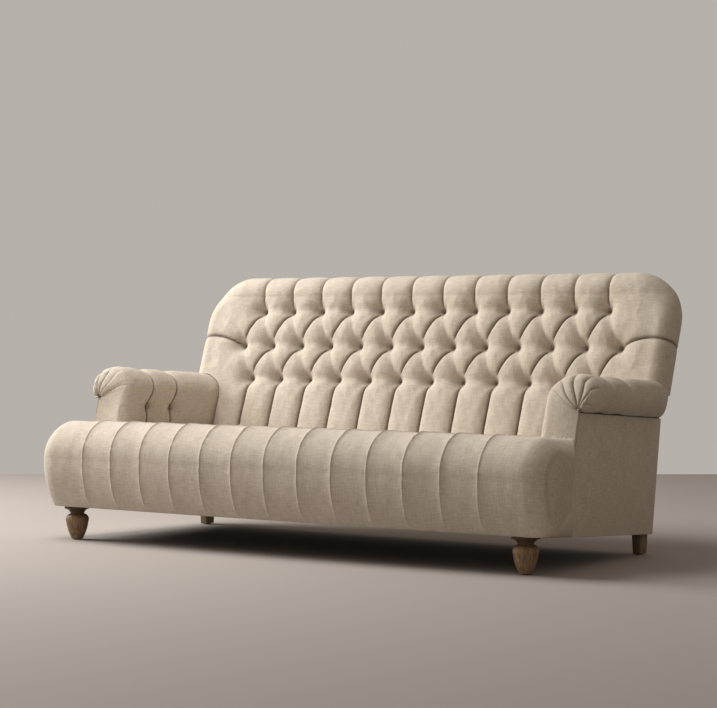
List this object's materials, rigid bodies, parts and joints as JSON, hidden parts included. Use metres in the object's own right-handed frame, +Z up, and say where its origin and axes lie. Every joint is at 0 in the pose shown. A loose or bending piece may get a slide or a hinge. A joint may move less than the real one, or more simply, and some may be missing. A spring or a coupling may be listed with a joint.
{
  "type": "sofa",
  "caption": "Long tight-upholstered sofa with a deep-buttoned raked back, a seat sewn in channels, low scroll arms, turned front legs and tapered rear legs.",
  "frame": {"origin": "on the floor under the middle of the bounding box", "axes": "+X along the sofa towards the sitter's left arm, -Y to the front, +Z up"},
  "size_m": [2.088, 1.072, 0.929],
  "materials": {
    "linen": "oatmeal slub linen weave",
    "frame_hardwood": "planed, unfinished",
    "leg_oak": "weathered brown oak, waxed",
    "rear_leg_stain": "olive brown stain, waxed",
    "jute_webbing": "woven jute",
    "stuffing": "matt fibre and foam",
    "bolt_steel": "plain zinc",
    "glide_plastic": "matt",
    "dust_cloth": "thin black cloth"
  },
  "bodies": {
    "root": {"seat_upholstery": "linen", "back_upholstery": "linen", "arm_upholstery_left": "linen", "arm_upholstery_right": "linen", "outside_arm_panel_left": "linen", "outside_arm_panel_right": "linen", "outside_back_panel": "linen", "back_buttons_lower_row": "linen", "back_buttons_middle_row": "linen", "back_buttons_upper_row": "linen", "arm_buttons_left": "linen", "arm_buttons_right": "linen", "front_rail": "frame_hardwood", "rear_rail": "frame_hardwood", "side_rail_left": "frame_hardwood", "side_rail_right": "frame_hardwood", "seat_stretchers": "frame_hardwood", "corner_blocks": "frame_hardwood", "arm_front_post_left": "frame_hardwood", "arm_front_post_right": "frame_hardwood", "arm_top_rail_left": "frame_hardwood", "arm_top_rail_right": "frame_hardwood", "arm_tack_rail_left": "frame_hardwood", "arm_tack_rail_right": "frame_hardwood", "back_post_left": "frame_hardwood", "back_post_right": "frame_hardwood", "back_top_rail": "frame_hardwood", "back_lower_rail": "frame_hardwood", "back_uprights": "frame_hardwood", "front_leg_left": "leg_oak", "front_leg_right": "leg_oak", "rear_leg_left": "rear_leg_stain", "rear_leg_right": "rear_leg_stain", "seat_webbing_lengthwise": "jute_webbing", "seat_webbing_crosswise": "jute_webbing", "back_webbing": "jute_webbing", "back_hessian": "jute_webbing", "seat_core": "stuffing", "back_core": "stuffing", "leg_bolts": "bolt_steel", "floor_glides": "glide_plastic", "dust_cover": "dust_cloth"}
  },
  "joints": []
}
